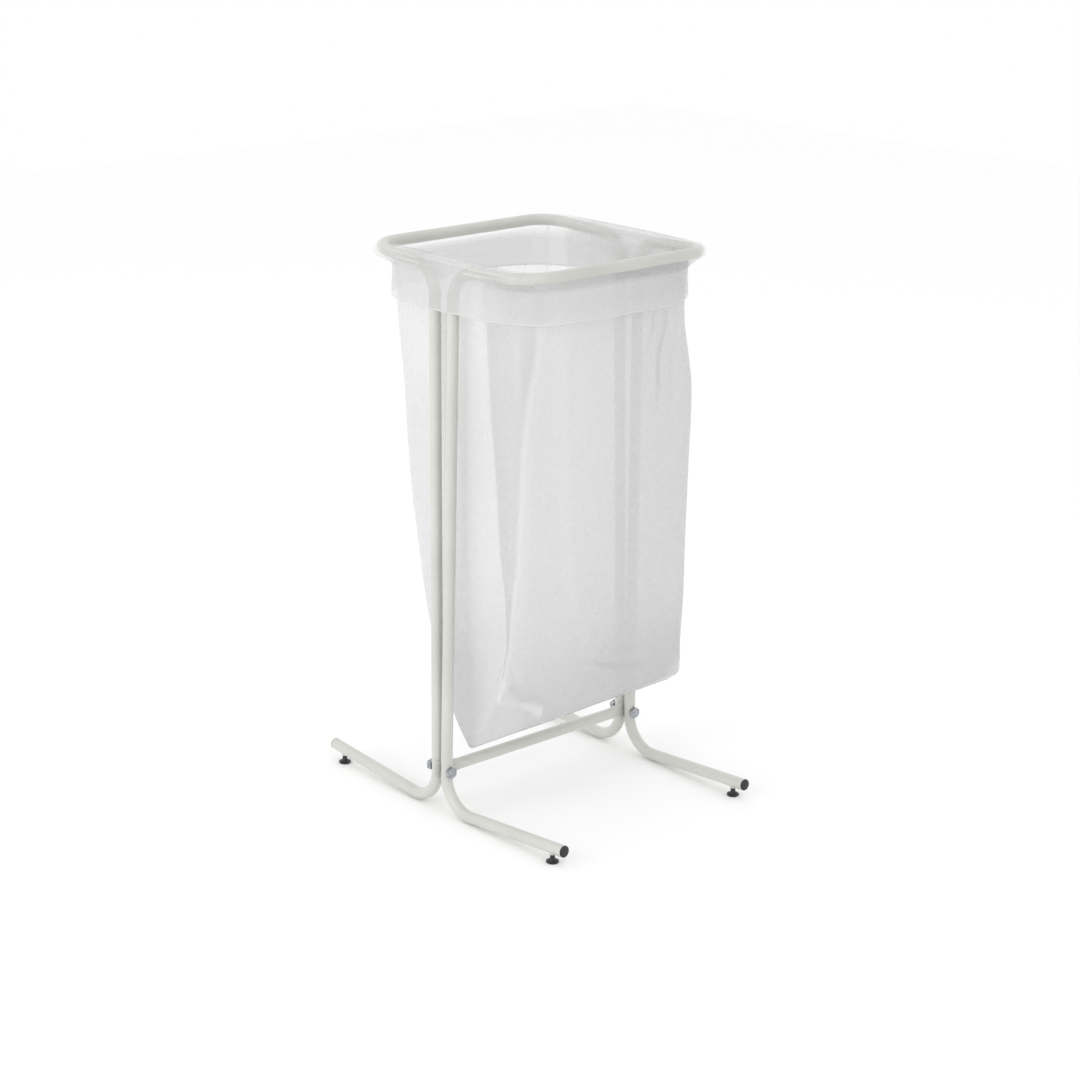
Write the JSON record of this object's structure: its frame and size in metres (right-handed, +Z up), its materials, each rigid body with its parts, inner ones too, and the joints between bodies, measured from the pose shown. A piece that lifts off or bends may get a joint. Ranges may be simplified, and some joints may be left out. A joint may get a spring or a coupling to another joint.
{
  "type": "waste bag holder stand",
  "caption": "Bent round-tube floor stand with a rounded square rim on splayed legs, a clamped crossbar, screw-in glides and a translucent sack turned out over the rim.",
  "frame": {"origin": "on the floor, at the centre of the footprint, under the middle of the rim", "axes": "+X along the feet to the front half, +Y along the crossbar to the right pair of legs, +Z up"},
  "size_m": [0.586, 0.4344, 0.9145],
  "materials": {
    "powder_coat": "semi-gloss powder coat",
    "zinc_plate": "bright zinc plate",
    "cap_plastic": "satin black polyethylene",
    "glide_plastic": "satin black nylon",
    "film": "translucent crinkled film"
  },
  "bodies": {
    "frame": {"front_frame_tube": "powder_coat", "rear_frame_tube": "powder_coat", "crossbar": "powder_coat", "left_clamp_bolt": "zinc_plate", "right_clamp_bolt": "zinc_plate", "left_clamp_nut": "zinc_plate", "right_clamp_nut": "zinc_plate", "front_left_end_cap": "cap_plastic", "front_right_end_cap": "cap_plastic", "rear_left_end_cap": "cap_plastic", "rear_right_end_cap": "cap_plastic", "front_left_glide_insert": "powder_coat", "front_right_glide_insert": "powder_coat", "rear_left_glide_insert": "powder_coat", "rear_right_glide_insert": "powder_coat", "waste_bag": "film"},
    "front_left_glide": {"front_left_glide_stud": "zinc_plate", "front_left_glide_pad": "glide_plastic"},
    "front_right_glide": {"front_right_glide_stud": "zinc_plate", "front_right_glide_pad": "glide_plastic"},
    "rear_left_glide": {"rear_left_glide_stud": "zinc_plate", "rear_left_glide_pad": "glide_plastic"},
    "rear_right_glide": {"rear_right_glide_stud": "zinc_plate", "rear_right_glide_pad": "glide_plastic"}
  },
  "joints": [
    {"name": "front_left_glide_height", "type": "slide", "parent": "frame", "child": "front_left_glide", "axis": [0, 0, -1], "range_m": [0, 0.008]},
    {"name": "front_right_glide_height", "type": "slide", "parent": "frame", "child": "front_right_glide", "axis": [0, 0, -1], "range_m": [0, 0.008]},
    {"name": "rear_left_glide_height", "type": "slide", "parent": "frame", "child": "rear_left_glide", "axis": [0, 0, -1], "range_m": [0, 0.008]},
    {"name": "rear_right_glide_height", "type": "slide", "parent": "frame", "child": "rear_right_glide", "axis": [0, 0, -1], "range_m": [0, 0.008]}
  ]
}
